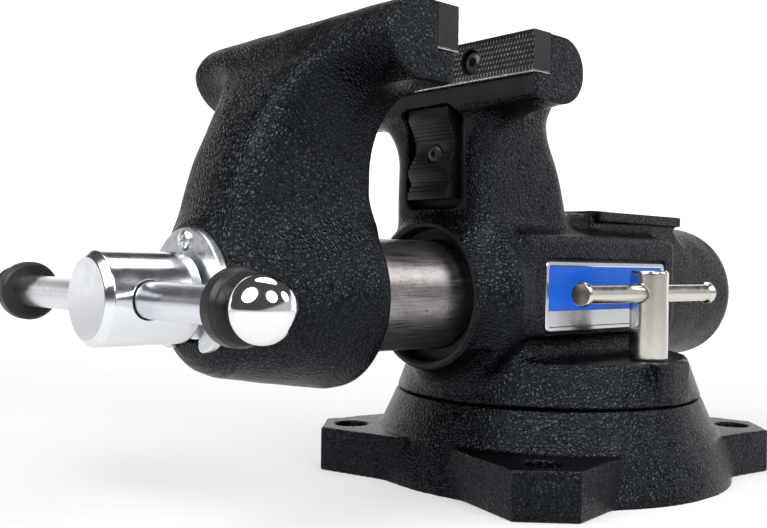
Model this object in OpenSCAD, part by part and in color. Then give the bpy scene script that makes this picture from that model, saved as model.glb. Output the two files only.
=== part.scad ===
// Mechanic's bench vise with an enclosed round slide on a swivel base.
// Millimetres. Origin on the swivel axis at the bench, the handle towards -Y, +Z up.

/* [Jaws] */
// Width of the jaws and of their inserts
jaw_w = 139.7; // [120:0.1:150]
// Height of the jaws' top above the bench
jaw_top = 215.6; // [212:0.1:222]
// Gap between the inserts at rest
opening = 47.6; // [40:0.1:60]
// Height of a jaw insert
insert_h = 18.5; // [16:0.5:22]
// Thickness of a jaw insert
insert_t = 11.8; // [10:0.2:13]
// Y of the fixed insert's working face
fixed_face = -100.6; // [-104:0.1:-98]

/* [Slide and screw] */
// Height of the screw's axis above the bench
axis_z = 96.8; // [95:0.1:99]
// Outer radius of the slide tube
tube_r = 26.6; // [25:0.1:28]
// Wall of the slide tube
tube_wall = 5.6; // [5:0.1:5.8]
// Radius of the screw's shank
screw_r = 12.7; // [11:0.1:13]
// Radius of the screw's head
head_r = 18.25; // [17:0.25:20]

/* [Handle] */
// Radius of the handle bar
bar_r = 7; // [6:0.25:8]
// Clear length of the bar between its two bumpers
bar_clear = 165; // [140:1:180]
// How far the bar is slid through the head at rest
bar_shift = -10.5; // [-20:0.5:20]
// Radius of the rubber bumpers
bumper_r = 13.2; // [12:0.1:15]
// Radius of the ball ends
ball_r = 11.4; // [10:0.1:12]

/* [Swivel base] */
// Distance between the bolt holes across the base, along X
bolt_x = 133.35; // [128:0.05:140]
// Distance between the bolt holes along the base, along Y
bolt_y = 171.45; // [166:0.05:178]
// Radius of the four bolt holes
bolt_r = 9; // [8:0.25:10]
// Thickness of the four lugs
lug_h = 23; // [18:0.5:26]
// Height of the seam between the base and the turntable
seam_z = 43.2; // [42:0.1:45]
// Radius of the base and the turntable at the seam
seam_r = 83; // [81:0.5:85]
// Distance of the two lock bolts from the swivel axis
lock_x = 65.6; // [64:0.1:67]

/* [Hidden] */
$fn = 96;

run = 0.05;                          // radial clearance of a running fit
gap = 0.3;                           // gap between faces that pass each other
cut = 1;                             // how far a cutter passes a face
moving_face = fixed_face - opening;  // working face of the moving insert
nose_y = moving_face - 78.7;         // front face of the moving jaw
column_back = moving_face - 5.8;     // rear face of the moving jaw's column
column_front = fixed_face + 8.1;     // front face of the fixed jaw's column
ledge = 2;                           // step from an insert's face to the casting below it
insert_z = jaw_top - insert_h;       // bottom of the inserts
insert_screw_x = 31.75;
insert_screw_z = insert_z + insert_h / 2;
arc_r = 137.5;                       // radius of the outer sweep of both jaws
arc_z = 105;                         // height where that sweep stands upright
front_lobe_r = 15.5;                 // round back of the moving jaw's bar
rear_lobe_r = 17.5;                  // round back of the fixed jaw's bar
bar_depth = 36.8;                    // from an insert's face to the back of its jaw's bar
front_half = 24.5;                   // half width of the moving jaw's column
rear_half = 30;                      // half width of the fixed jaw's column
corner_r = 11;                       // rounding of both columns' outer corners
sweep_r = 24;                        // sweep from a column out to the underside of its bar
insert_screw_r = 3.2;
insert_bore = [5.9, 6];              // radius and depth of an insert's counterbores
pipe_screw_r = 2.6;
pipe_bore_r = 5.2;                   // counterbore for a pipe jaw's screw
column_back_y = -11;                 // where the fixed column's back stands upright
pipe_half = 13.7;                    // half width of a pipe jaw
pipe_h = 45;
pipe_z = 166.5;                      // middle of the pipe jaws
pipe_floor = 6;                      // depth of the pipe jaws' pockets
pipe_scoop_r = 46;                   // radius of their hollow faces

barrel_r = 40.3;                     // the body's round barrel
dome_y = 127.2;                      // where its rear dome starts
dome_len = 21.6;
boss_y = fixed_face + 2.8;           // front face of the body's boss
boss_r = 37.5;
cheek_x = 43;                        // flat sides of the body
cheek_y = [-72, 63];
cheek_z = [76, 127];
foot_half = 38;                      // half width of the body where it meets the turntable
flange_r = 46;                       // rounded flange behind the boss
anvil_z = 142.4;
anvil_y = [10, 93.5];
anvil_half = 28;
anvil_lip = 5.7;                     // thickness of the anvil's edge
anvil_neck = 25.5;                   // half width of the block under that edge
plate_len = 106;
plate_h = 34.8;
plate_y = -2;
plate_t = 1.2;

bore_end = 112;                      // end of the body's running bore
nut_r = 20;
nut_y = [-35, 136];
thread_len = 40;                     // length of the nut's threaded stretch
screw_end = 88;
tube_y = [nose_y + 26.9, 62];
collar_r = 17;
neck_r = 10.3;
collar_y = [nose_y + gap, nose_y + 12];
washer_t = 2.5;
tube_pin_y = column_back - 25;
key_half = 4;
key_y = [-60, -32];
key_rise = 3.6;                      // how far the key stands into the tube's keyway
key_screw_z = 57;
nut_pin_r = 2.5;
nut_pin_x = 21;
nut_pin_y = [118, 141];
head_y = [nose_y - 45.2, nose_y - 6.4];
keeper_t = 4.1;
keeper_r = 28.2;
keeper_screw_r = 22.9;               // radius of the keeper screws' circle
keeper_angles = [90, 200, 340];
small_screw_r = 2.5;                 // shank of the keeper's and the key's screws
bar_y = nose_y - 28.1;
bumper_t = 8.5;
ball_mid = 8.5;                      // from a bumper out to its ball's middle
tip_depth = 6;                       // how far the bar's tips reach into the balls

pivot_r = 20;
lug_tip = 14.9;                      // from a bolt hole out to the lug's end
lug_half = 14.8;                     // half width of that end
base_r = 98.7;
lock_block_half = 14;                // half length of the blocks round the lock bolts
table_top = 64.3;
table_r = 76;
lock_shank_r = 5;
lock_post_r = 9.7;
lock_post_z = [table_top, 110.3];
lock_bar_z = 98.6;
lock_bar_half = 58;
lock_bar_r = 4.5;
lock_end_r = 5.9;
slot_half = 5.6;                     // half width of the base's ring slot
slot_head_half = 11;                 // half width of its undercut
slot_z = [20, 33];                   // floor and roof of the undercut

// A cylinder along Y at the height of the screw's axis, or at (x, z).
module along_y(y0, y1, r, x = 0, z = axis_z) {
    translate([x, y0, z]) rotate([-90, 0, 0]) cylinder(r = r, h = y1 - y0);
}

// A cone or cylinder along Y that runs from radius r0 to radius r1.
module cone_y(y0, y1, r0, r1, x = 0, z = axis_z) {
    translate([x, y0, z]) rotate([-90, 0, 0]) cylinder(r1 = r0, r2 = r1, h = y1 - y0);
}

// A cylinder along X.
module along_x(x0, x1, r, y, z) {
    translate([x0, y, z]) rotate([0, 90, 0]) cylinder(r = r, h = x1 - x0);
}

// A round form about the screw's axis, from an outline of [radius, y] points.
module turned(outline) {
    translate([0, 0, axis_z]) rotate([-90, 0, 0]) rotate_extrude() polygon(outline);
}

// Stretches a (y, z) outline across the vise, from x0 to x1.
module across(x0, x1) {
    translate([x0, 0, 0]) rotate([90, 0, 90]) linear_extrude(x1 - x0) children();
}

// Stretches an (x, z) outline along the vise, from y0 to y1.
module lengthwise(y0, y1) {
    translate([0, y1, 0]) rotate([90, 0, 0]) linear_extrude(y1 - y0) children();
}

// A block from one corner to the other.
module block(low, high) {
    translate(low) cube(high - low);
}

// A drum across the vise with rounded rims. Its side is the outer sweep of a jaw's column.
module drum(half, y) {
    flat = half - corner_r;
    translate([0, y, arc_z]) rotate([0, 90, 0]) rotate_extrude() {
        translate([0, -flat]) square([arc_r, 2 * flat]);
        translate([0, -half]) square([arc_r - corner_r, 2 * half]);
        for (t = [-flat, flat])
            translate([arc_r - corner_r, t]) circle(r = corner_r);
    }
}

// An upright prism with rounded corners towards -Y, from y0 to y1.
module front_corners(half, y0, y1) {
    flat = half - corner_r;
    translate([0, 0, 60]) linear_extrude(jaw_top - 60) {
        translate([-flat, y0]) square([2 * flat, y1 - y0]);
        translate([-half, y0 + corner_r]) square([2 * half, y1 - y0 - corner_r]);
        for (x = [-flat, flat])
            translate([x, y0 + corner_r]) circle(r = corner_r);
    }
}

// The sweep from a column's sides out to the underside of its bar, from y0 to y1.
module flare(half, bar_z, y0, y1) {
    wide = half + sweep_r;
    lengthwise(y0, y1) difference() {
        translate([-wide, bar_z - sweep_r]) square([2 * wide, sweep_r + 6]);
        for (side = [-1, 1])
            translate([side * wide, bar_z - sweep_r]) circle(r = sweep_r);
    }
}

// Side view of a jaw's bar: a round back and a ledge under the insert. dir is 1 for the fixed jaw.
module bar_outline(face, lobe_r, dir) {
    lobe_y = face + dir * (bar_depth - lobe_r);
    low = jaw_top - 2 * lobe_r;
    front = face + dir * ledge;
    translate([lobe_y, low + lobe_r]) circle(r = lobe_r);
    polygon([[lobe_y, low], [front + dir * 4, low], [front, low + 4],
             [front, jaw_top], [lobe_y, jaw_top]]);
}

// Through holes for an insert's screws.
module insert_screw_holes(y0, y1) {
    for (side = [-1, 1])
        along_y(y0, y1, insert_screw_r, x = side * insert_screw_x, z = insert_screw_z);
}

// ---- castings ----

module lug_outline() {
    hole = [bolt_x / 2, bolt_y / 2];
    out = [sqrt(0.5), sqrt(0.5)];
    along = [sqrt(0.5), -sqrt(0.5)];
    polygon([[0, 0], [18.5, 94.3], hole + out * lug_tip - along * lug_half,
             hole + out * lug_tip + along * lug_half, [79.1, 27.1]]);
}

module swivel_base() color("#1d1e20") {
    slot_out = lock_x + slot_half;
    slot_in = lock_x - slot_half;
    head_out = lock_x + slot_head_half;
    head_in = lock_x - slot_head_half;
    difference() {
        union() {
            rotate_extrude() polygon([[0, 0], [base_r, 0], [98.2, 4], [96.4, 11], [93.5, 19],
                                      [90, 27.5], [86.5, 35], [seam_r, seam_z - gap - 1],
                                      [seam_r - 1, seam_z - gap], [0, seam_z - gap]]);
            for (x = [0, 1]) mirror([x, 0, 0]) for (y = [0, 1]) mirror([0, y, 0])
                linear_extrude(lug_h) lug_outline();
        }
        // the four bolt holes
        for (x = [-1, 1]) for (y = [-1, 1])
            translate([x * bolt_x / 2, y * bolt_y / 2, -cut]) cylinder(r = bolt_r, h = lug_h + 2 * cut);
        // the pivot bore
        translate([0, 0, -cut]) cylinder(r = pivot_r + run, h = seam_z + 2 * cut);
        // the ring slot, and the wider channel below it for the lock bolts' heads
        rotate_extrude() polygon([[slot_in, slot_z[0]], [slot_in, seam_z + cut],
                                  [slot_out, seam_z + cut], [slot_out, slot_z[0]]]);
        rotate_extrude() polygon([[head_in, slot_z[0]], [head_in, slot_z[1]],
                                  [head_out, slot_z[1]], [head_out, slot_z[0]]]);
        // the window where a bolt's head drops into the slot
        block([-slot_head_half, head_in, slot_z[0] + 1], [slot_head_half, head_out, seam_z + cut]);
        // the relief in the underside
        rotate_extrude() polygon([[30, -cut], [30, 4], [85, 4], [87, -cut]]);
    }
}

module vise_body() color("#1d1e20") {
    rear_lobe_y = fixed_face + bar_depth - rear_lobe_r;
    dome = [for (i = [0:12]) [barrel_r * cos(i * 7.5), dome_y + dome_len * sin(i * 7.5)]];
    difference() {
        union() {
            // the barrel with its front boss and rear dome
            turned(concat([[0, boss_y], [boss_r - 1.5, boss_y], [boss_r, boss_y + 1.5],
                           [boss_r + 1.5, boss_y + 8], [flange_r, boss_y + 19.5],
                           [flange_r, boss_y + 25], [barrel_r, boss_y + 42]], dome));
            // the flat sides and the foot
            block([-cheek_x, cheek_y[0], cheek_z[0]], [cheek_x, cheek_y[1], cheek_z[1]]);
            block([-foot_half, cheek_y[0] + 8, seam_z + 1], [foot_half, cheek_y[1] - 4, axis_z]);
            // the turntable and the blocks round the lock bolts
            rotate_extrude() polygon([[0, seam_z], [seam_r - 1, seam_z], [seam_r, seam_z + 1],
                                      [table_r + 1, table_top - 2], [table_r - 1, table_top],
                                      [0, table_top]]);
            intersection() {
                block([-seam_r, -lock_block_half, seam_z + 1], [seam_r, lock_block_half, table_top]);
                cylinder(r = seam_r - 0.5, h = jaw_top);
            }
            // the column and its sweep
            intersection() {
                drum(rear_half, column_back_y - arc_r);
                front_corners(rear_half, column_front, column_back_y + cut);
            }
            flare(rear_half, jaw_top - 2 * rear_lobe_r, column_front, rear_lobe_y + 12);
            // the jaw
            across(-jaw_w / 2, jaw_w / 2) bar_outline(fixed_face, rear_lobe_r, 1);
            // the anvil, the block under it and the web to the column
            block([-anvil_half, anvil_y[0], anvil_z - anvil_lip], [anvil_half, anvil_y[1], anvil_z]);
            block([-anvil_neck, column_back_y - 20, axis_z],
                  [anvil_neck, anvil_y[1] - 1.5, anvil_z - 1.4]);
            // the pivot
            translate([0, 0, seam_z - 24]) cylinder(r = pivot_r, h = 30);
        }
        insert_seat(fixed_face, 1);
        insert_screw_holes(fixed_face, fixed_face + insert_t + 16);
        pipe_pocket(column_front, 1);
        // the mouth, the running bore, the nut's bore and the end space
        along_y(boss_y - cut, boss_y + 8, 33);
        along_y(boss_y, bore_end, tube_r + run);
        along_y(bore_end - cut, nut_y[1], nut_r);
        along_y(nut_y[1] - cut, nut_y[1] + 3, 14.5);
        along_y(nut_pin_y[0], dome_y + dome_len, nut_pin_r, x = nut_pin_x);
        // the key's pocket and its screw's hole
        block([-key_half, key_y[0], axis_z - tube_r - 8], [key_half, key_y[1], axis_z - tube_r + 4]);
        translate([0, (key_y[0] + key_y[1]) / 2, 0]) {
            cylinder(r = small_screw_r, h = axis_z - tube_r);
            translate([0, 0, seam_z - cut]) cylinder(r = 4.6, h = key_screw_z - seam_z + cut);
        }
        // the lock bolts' holes
        for (side = [-1, 1])
            translate([side * lock_x, 0, seam_z - cut]) cylinder(r = lock_shank_r + 0.3, h = 30);
        // the nameplates' recesses
        for (side = [-1, 1])
            block([side * cheek_x - plate_t, plate_y - plate_len / 2 - 1.5, axis_z - plate_h / 2 - 1.5],
                  [side * cheek_x + plate_t, plate_y + plate_len / 2 + 1.5, axis_z + plate_h / 2 + 1.5]);
    }
}

module front_jaw() color("#1d1e20") {
    front_lobe_y = moving_face - bar_depth + front_lobe_r;
    difference() {
        union() {
            // the nose round the screw and the slide tube
            turned([[0, nose_y], [27, nose_y], [30.5, nose_y + 3.5], [33, nose_y + 10],
                    [36.5, nose_y + 30], [40, nose_y + 55], [42, nose_y + 66],
                    [42, column_back - 1.5], [40.5, column_back], [0, column_back]]);
            // the column and its sweep
            intersection() {
                drum(front_half, nose_y + arc_r);
                block([-front_half, nose_y - cut, axis_z], [front_half, column_back, jaw_top]);
            }
            flare(front_half, jaw_top - 2 * front_lobe_r, front_lobe_y - 12, column_back);
            // the jaw
            across(-jaw_w / 2, jaw_w / 2) bar_outline(moving_face, front_lobe_r, -1);
        }
        insert_seat(moving_face, -1);
        insert_screw_holes(moving_face - insert_t - 16, moving_face);
        pipe_pocket(column_back, -1);
        // the collar's pocket, the screw's hole and the slide tube's seat
        along_y(nose_y - cut, collar_y[1] + gap + washer_t + gap, collar_r + 0.5);
        along_y(nose_y, column_back, screw_r + 1.3);
        along_y(tube_y[0], column_back + cut, tube_r);
        translate([0, tube_pin_y, axis_z - 46]) cylinder(r = 4, h = 46);
        for (a = keeper_angles)
            along_y(nose_y - cut, nose_y + 12, small_screw_r, x = keeper_screw_r * cos(a),
                    z = axis_z + keeper_screw_r * sin(a));
    }
}

// ---- jaw faces ----

// The cutter of an insert's seat. dir is 1 for the fixed jaw, -1 for the moving one.
module insert_seat(face, dir) {
    far = face + dir * insert_t;
    block([-jaw_w, min(face - dir * 20, far), insert_z],
          [jaw_w, max(face - dir * 20, far), jaw_top + cut]);
}

module jaw_insert(face, dir) {
    far = face + dir * insert_t;
    seat = face + dir * insert_bore[1];
    difference() {
        block([-jaw_w / 2, min(face, far), insert_z], [jaw_w / 2, max(face, far), jaw_top]);
        insert_screw_holes(min(face, far) - cut, max(face, far) + cut);
        for (side = [-1, 1])
            along_y(min(face - dir, seat), max(face - dir, seat), insert_bore[0],
                    x = side * insert_screw_x, z = insert_screw_z);
    }
}

// A button head screw along Y. seat is the head's underside, dir points from the head to its tip.
module button_screw(seat, dir, x, z, head, head_h, shank, length) {
    translate([x, seat, z]) rotate([-90 * dir, 0, 0]) difference() {
        union() {
            cylinder(r = shank, h = length);
            rotate_extrude() polygon([[0, 0], [head, 0], [head, -head_h * 0.35],
                                      [head * 0.85, -head_h * 0.75], [head * 0.6, -head_h], [0, -head_h]]);
        }
        translate([0, 0, -head_h - cut]) cylinder(r = head * 0.5, h = head_h * 0.75 + cut, $fn = 6);
    }
}

module insert_screws(face, dir) {
    for (side = [-1, 1])
        button_screw(face + dir * insert_bore[1], dir, side * insert_screw_x, insert_screw_z,
                     insert_bore[0] - 0.6, 3.2, insert_screw_r, 20);
}

// The pocket that a pipe jaw sits in. face is the column's face.
module pipe_pocket(face, dir) {
    deep = face + dir * pipe_floor;
    block([-pipe_half - 3.5, min(face - dir * 20, deep), pipe_z - pipe_h / 2 - 2],
          [pipe_half + 3.5, max(face - dir * 20, deep), pipe_z + pipe_h / 2 + 0.6]);
    along_y(min(deep, deep + dir * 18), max(deep, deep + dir * 18), pipe_screw_r, z = pipe_z);
}

module pipe_jaw(face, dir) {
    back = face + dir * pipe_floor;
    front = face - dir * 3.5;
    scoop_y = front + dir * (5.5 - pipe_scoop_r);
    seat = back - dir * 3;
    tooth = 1.5;
    difference() {
        block([-pipe_half, min(back, front), pipe_z - pipe_h / 2],
              [pipe_half, max(back, front), pipe_z + pipe_h / 2]);
        along_x(-pipe_half - cut, pipe_half + cut, pipe_scoop_r, scoop_y, pipe_z);
        // the teeth, two groups of grooves across the hollow face
        for (side = [-1, 1]) for (i = [0:4]) {
            a = side * (9 + i * 2.9);
            translate([0, scoop_y + dir * pipe_scoop_r * cos(a), pipe_z + pipe_scoop_r * sin(a)])
                rotate([45, 0, 0]) cube([2 * pipe_half + 2 * cut, tooth, tooth], center = true);
        }
        along_y(min(face, back) - 9, max(face, back) + 9, pipe_screw_r, z = pipe_z);
        along_y(min(seat, front - dir * 9), max(seat, front - dir * 9), pipe_bore_r, z = pipe_z);
    }
}

module pipe_jaw_screw(face, dir) {
    button_screw(face + dir * (pipe_floor - 3), dir, 0, pipe_z, pipe_bore_r - 0.6, 2.8,
                 pipe_screw_r, 19);
}

module rear_jaw_insert() color("#2a2523") jaw_insert(fixed_face, 1);
module front_jaw_insert() color("#2a2523") jaw_insert(moving_face, -1);
module rear_insert_screws() color("#26272a") insert_screws(fixed_face, 1);
module front_insert_screws() color("#26272a") insert_screws(moving_face, -1);
module rear_pipe_jaw() color("#232427") pipe_jaw(column_front, 1);
module front_pipe_jaw() color("#232427") pipe_jaw(column_back, -1);
module rear_pipe_jaw_screw() color("#26272a") pipe_jaw_screw(column_front, 1);
module front_pipe_jaw_screw() color("#26272a") pipe_jaw_screw(column_back, -1);

// ---- slide, screw and nut ----

module slide_tube() color("#77736f") difference() {
    along_y(tube_y[0], tube_y[1], tube_r);
    along_y(tube_y[0] - cut, tube_y[1] + cut, tube_r - tube_wall);
    // the keyway
    block([-key_half - 0.3, column_back + 24, axis_z - tube_r - cut],
          [key_half + 0.3, tube_y[1] + cut, axis_z - tube_r + key_rise + 0.4]);
    translate([0, tube_pin_y, axis_z - tube_r - cut]) cylinder(r = 4, h = 12);
}

module tube_pin() color("#8a8d91")
    translate([0, tube_pin_y, axis_z - 38]) cylinder(r = 4, h = 38 - tube_r + tube_wall);

module slide_key() color("#6c6e72") difference() {
    block([-key_half, key_y[0], axis_z - tube_r - 8], [key_half, key_y[1], axis_z - tube_r + key_rise]);
    translate([0, (key_y[0] + key_y[1]) / 2, 0]) cylinder(r = small_screw_r, h = axis_z - tube_r - 2);
}

module key_screw() color("#303236") translate([0, (key_y[0] + key_y[1]) / 2, key_screw_z]) {
    cylinder(r = small_screw_r, h = axis_z - tube_r - 2 - key_screw_z);
    translate([0, 0, -4]) cylinder(r = 4.3, h = 4);
}

module thrust_washer() color("#9a9c9f") difference() {
    along_y(collar_y[1] + gap, collar_y[1] + gap + washer_t, collar_r);
    along_y(collar_y[1], collar_y[1] + 10, screw_r + 1);
}

module keeper_plate() color("#c9ccd0") difference() {
    along_y(nose_y - keeper_t, nose_y, keeper_r);
    along_y(nose_y - keeper_t - cut, nose_y + cut, neck_r + 0.7);
    block([-neck_r - 0.7, nose_y - 10, 0], [neck_r + 0.7, nose_y + 10, axis_z]);
    block([-50, nose_y - 10, 0], [50, nose_y + 10, axis_z - 21.3]);
    for (a = keeper_angles)
        along_y(nose_y - 10, nose_y + 10, small_screw_r, x = keeper_screw_r * cos(a),
                z = axis_z + keeper_screw_r * sin(a));
}

module keeper_screws() color("#c4c7ca") for (a = keeper_angles) {
    x = keeper_screw_r * cos(a);
    z = axis_z + keeper_screw_r * sin(a);
    top = nose_y - keeper_t - 1.9;
    along_y(nose_y - keeper_t, nose_y + 11, small_screw_r, x = x, z = z);
    difference() {
        cone_y(top, nose_y - keeper_t, 3, 4.2, x = x, z = z);
        for (turn = [45, 135])
            translate([x, top, z]) rotate([0, turn, 0]) cube([5, 2.4, 0.9], center = true);
    }
}

module main_screw() color("#c6c9cc") difference() {
    union() {
        cone_y(head_y[0], head_y[0] + 2.5, head_r - 2.5, head_r);
        along_y(head_y[0] + 2.5, head_y[1], head_r);
        along_y(head_y[1], collar_y[0], neck_r);
        along_y(collar_y[0], collar_y[1], collar_r);
        along_y(collar_y[1], screw_end - 2, screw_r);
        cone_y(screw_end - 2, screw_end, screw_r, screw_r - 2);
    }
    along_x(-head_r - cut, head_r + cut, bar_r + run, bar_y, axis_z);
}

module spindle_nut() color("#8f8a7c") difference() {
    along_y(nut_y[0], nut_y[1], nut_r);
    along_y(nut_y[0] - cut, nut_y[0] + thread_len, screw_r + run);
    along_y(nut_y[0] + thread_len - cut, nut_y[1] + cut, screw_r + 1.5);
    along_y(nut_pin_y[0], nut_y[1] + cut, nut_pin_r, x = nut_pin_x);
}

module nut_pin() color("#55585c") along_y(nut_pin_y[0], nut_pin_y[1], nut_pin_r, x = nut_pin_x);

// ---- handle ----

bar_ends = [bar_shift - bar_clear / 2, bar_shift + bar_clear / 2];

module handle_bar() color("#cfd1d4")
    along_x(bar_ends[0] - bumper_t - tip_depth, bar_ends[1] + bumper_t + tip_depth, bar_r, bar_y, axis_z);

module bumper(x0) color("#17181a") difference() {
    translate([x0, bar_y, axis_z]) rotate([0, 90, 0]) rotate_extrude()
        polygon([[0, 0], [bumper_r - 1.5, 0], [bumper_r, 1.5], [bumper_r, bumper_t - 2.5],
                 [bumper_r - 1.2, bumper_t], [0, bumper_t]]);
    along_x(x0 - cut, x0 + bumper_t + cut, bar_r, bar_y, axis_z);
}

// A ball end on a short collar, bored for the bar's tip. It points to +X and starts at x = 0.
module ball() color("#cfd1d4") translate([0, bar_y, axis_z]) rotate([0, 90, 0]) rotate_extrude() {
    round_part = [for (a = [-40 : 5 : 90]) [ball_r * cos(a), ball_mid + ball_r * sin(a)]];
    polygon(concat([[bar_r, 0], [8.6, 0]], round_part, [[0, tip_depth], [bar_r, tip_depth]]));
}

module handle_bumper_right() bumper(bar_ends[1]);
module handle_bumper_left() translate([bar_ends[0], 0, 0]) mirror([1, 0, 0]) bumper(0);
module handle_ball_right() translate([bar_ends[1] + bumper_t, 0, 0]) ball();
module handle_ball_left() translate([bar_ends[0] - bumper_t, 0, 0]) mirror([1, 0, 0]) ball();

// ---- swivel locks ----

module lock_bolt(side) color("#6d7074") translate([side * lock_x, 0, 0]) {
    translate([-9, -9, slot_z[1] - 9]) cube([18, 18, 8.6]);
    translate([0, 0, slot_z[1] - 1]) cylinder(r = lock_shank_r, h = table_top + 18 - slot_z[1]);
}

module lock_nut(side) color("#c9c6c0") translate([side * lock_x, 0, 0]) difference() {
    rotate_extrude() polygon([[0, lock_post_z[0]], [lock_post_r - 1.2, lock_post_z[0]],
                              [lock_post_r, lock_post_z[0] + 1.2], [lock_post_r, lock_post_z[1] - 1.2],
                              [lock_post_r - 1.2, lock_post_z[1]], [0, lock_post_z[1]]]);
    translate([0, 0, lock_post_z[0] - cut]) cylinder(r = lock_shank_r + run, h = 19 + cut);
    translate([0, -20, lock_bar_z]) rotate([-90, 0, 0]) cylinder(r = lock_bar_r + run, h = 40);
}

module lock_bar(side) color("#c9c6c0") {
    x = side * lock_x;
    along_y(-lock_bar_half, lock_bar_half, lock_bar_r, x = x, z = lock_bar_z);
    for (end = [0, 1]) mirror([0, end, 0]) {
        along_y(lock_bar_half - 3, lock_bar_half - 0.8, lock_end_r, x = x, z = lock_bar_z);
        cone_y(lock_bar_half - 5, lock_bar_half - 3, lock_bar_r, lock_end_r, x = x, z = lock_bar_z);
        cone_y(lock_bar_half - 0.8, lock_bar_half, lock_end_r, lock_end_r - 0.8, x = x, z = lock_bar_z);
    }
}

module lock_bolt_right() lock_bolt(1);
module lock_bolt_left() lock_bolt(-1);
module lock_nut_right() lock_nut(1);
module lock_nut_left() lock_nut(-1);
module lock_bar_right() lock_bar(1);
module lock_bar_left() lock_bar(-1);

// ---- nameplates, blank ----

module name_plate(side) color("#b9c0c8") {
    x = side * (cheek_x - plate_t / 2);
    translate([x - plate_t / 2, plate_y, axis_z]) rotate([90, 0, 90]) linear_extrude(plate_t) {
        square([plate_len - 6, plate_h], center = true);
        square([plate_len, plate_h - 6], center = true);
        for (u = [-1, 1]) for (v = [-1, 1])
            translate([u * (plate_len / 2 - 3), v * (plate_h / 2 - 3)]) circle(r = 3);
    }
}

module name_plate_right() name_plate(1);
module name_plate_left() name_plate(-1);

swivel_base();
vise_body();
spindle_nut();
nut_pin();
slide_key();
key_screw();
rear_jaw_insert();
rear_insert_screws();
rear_pipe_jaw();
rear_pipe_jaw_screw();
name_plate_right();
name_plate_left();
front_jaw();
slide_tube();
tube_pin();
thrust_washer();
keeper_plate();
keeper_screws();
front_jaw_insert();
front_insert_screws();
front_pipe_jaw();
front_pipe_jaw_screw();
main_screw();
handle_bar();
handle_bumper_right();
handle_bumper_left();
handle_ball_right();
handle_ball_left();
lock_bolt_right();
lock_bolt_left();
lock_nut_right();
lock_nut_left();
lock_bar_right();
lock_bar_left();
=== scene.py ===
"""A bench vise on a swivel base: cast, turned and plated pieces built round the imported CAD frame."""
import bpy
import bmesh
import numpy as np
import openvdb
from math import cos, pi, radians, sin, sqrt, tan
from mathutils import Matrix, Vector


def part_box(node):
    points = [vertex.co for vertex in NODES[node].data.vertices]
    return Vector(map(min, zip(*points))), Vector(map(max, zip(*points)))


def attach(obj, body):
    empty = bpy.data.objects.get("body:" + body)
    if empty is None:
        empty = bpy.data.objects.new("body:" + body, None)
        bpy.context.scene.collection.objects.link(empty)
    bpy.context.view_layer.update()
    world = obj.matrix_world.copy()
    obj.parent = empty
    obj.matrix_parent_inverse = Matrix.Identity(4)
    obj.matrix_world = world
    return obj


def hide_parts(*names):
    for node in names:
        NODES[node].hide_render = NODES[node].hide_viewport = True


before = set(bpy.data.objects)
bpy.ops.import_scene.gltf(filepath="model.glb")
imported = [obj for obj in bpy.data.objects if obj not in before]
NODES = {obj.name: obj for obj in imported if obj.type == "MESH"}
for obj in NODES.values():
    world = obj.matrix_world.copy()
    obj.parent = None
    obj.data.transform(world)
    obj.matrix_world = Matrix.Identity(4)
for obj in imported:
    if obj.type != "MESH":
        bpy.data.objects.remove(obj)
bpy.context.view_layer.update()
MM = 0.001


def box_mm(node):
    """A CAD node's box in millimetres, as two arrays."""
    low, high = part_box(node)
    return np.array(low) / MM, np.array(high) / MM


# ---------------------------------------------------------------- sizes from the frame, millimetres

(_, FIXED_FACE, INSERT_Z), (JAW_X, FIXED_SEAT, JAW_TOP) = box_mm("rear_jaw_insert")
MOVING_SEAT, MOVING_FACE = (corner[1] for corner in box_mm("front_jaw_insert"))
TUBE_R = box_mm("slide_tube")[1][0]
AXIS_Z = box_mm("slide_tube")[1][2] - TUBE_R
NOSE_Y, COLUMN_BACK = box_mm("keeper_plate")[1][1], MOVING_FACE - 5.8
COLUMN_FRONT = FIXED_FACE + 8.1
LEDGE = 2.0
BAR_DEPTH = 36.8
FRONT_LOBE_R, REAR_LOBE_R = 15.5, 15.2
ARC_R, ARC_Z = 137.5, 105.0
BODY_END = box_mm("vise_body")[1][1]
BASE_TOP = box_mm("swivel_base")[1][2]
SEAM_Z = BASE_TOP + 0.3
TABLE_TOP = box_mm("lock_nut_right")[0][2]
LOCK_X = box_mm("lock_nut_right")[1][0] - 9.7
PIPE_LOW, PIPE_HIGH = box_mm("rear_pipe_jaw")
PLATE_LOW, PLATE_HIGH = box_mm("name_plate_right")
MID_Z = (INSERT_Z + JAW_TOP) / 2
PIPE_SCREW_Z = (PIPE_LOW[2] + PIPE_HIGH[2]) / 2
SCREW_LOW, SCREW_HIGH = box_mm("main_screw")
BAR_Y = (box_mm("handle_bar")[0][1] + box_mm("handle_bar")[1][1]) / 2
LOCK_BAR_Z = box_mm("lock_bar_right")[1][2] - 5.9

# ---------------------------------------------------------------- sizes of the class and of the photo's fit

BOLT = (133.35 / 2, 171.45 / 2)     # half the bolt rectangle
TOOTH = (1.9, 4.6, 0.7)             # an insert's diamond: across, up and deep
INSERT_SCREW_X, INSERT_BORE = 31.75, 6
PIPE_SCREW_SEAT = 3
INSERT_HEAD = (5.3, 4.6, 2.2)       # radius, height and half the socket
PIPE_HEAD = (4.6, 2.8, 1.6)
CROSS_HEAD = (4.2, 1.9)             # radius and height
KEEPER_SCREW_R = 22.9
THREAD_R, LEAD, PLAIN = 12.7, 5.0, 12.0
BALL_R, BUMPER_R, BAR_R = 11.4, 13.2, 7.0


# ---------------------------------------------------------------- distance fields, millimetres

def smin(a, b, k):
    """The smaller of two distances, blended over about k, which fillets their union."""
    h = np.clip(0.5 + 0.5 * (b - a) / k, 0, 1)
    return b + (a - b) * h - k * h * (1 - h)


def smax(a, b, k):
    return -smin(-a, -b, k)


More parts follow.
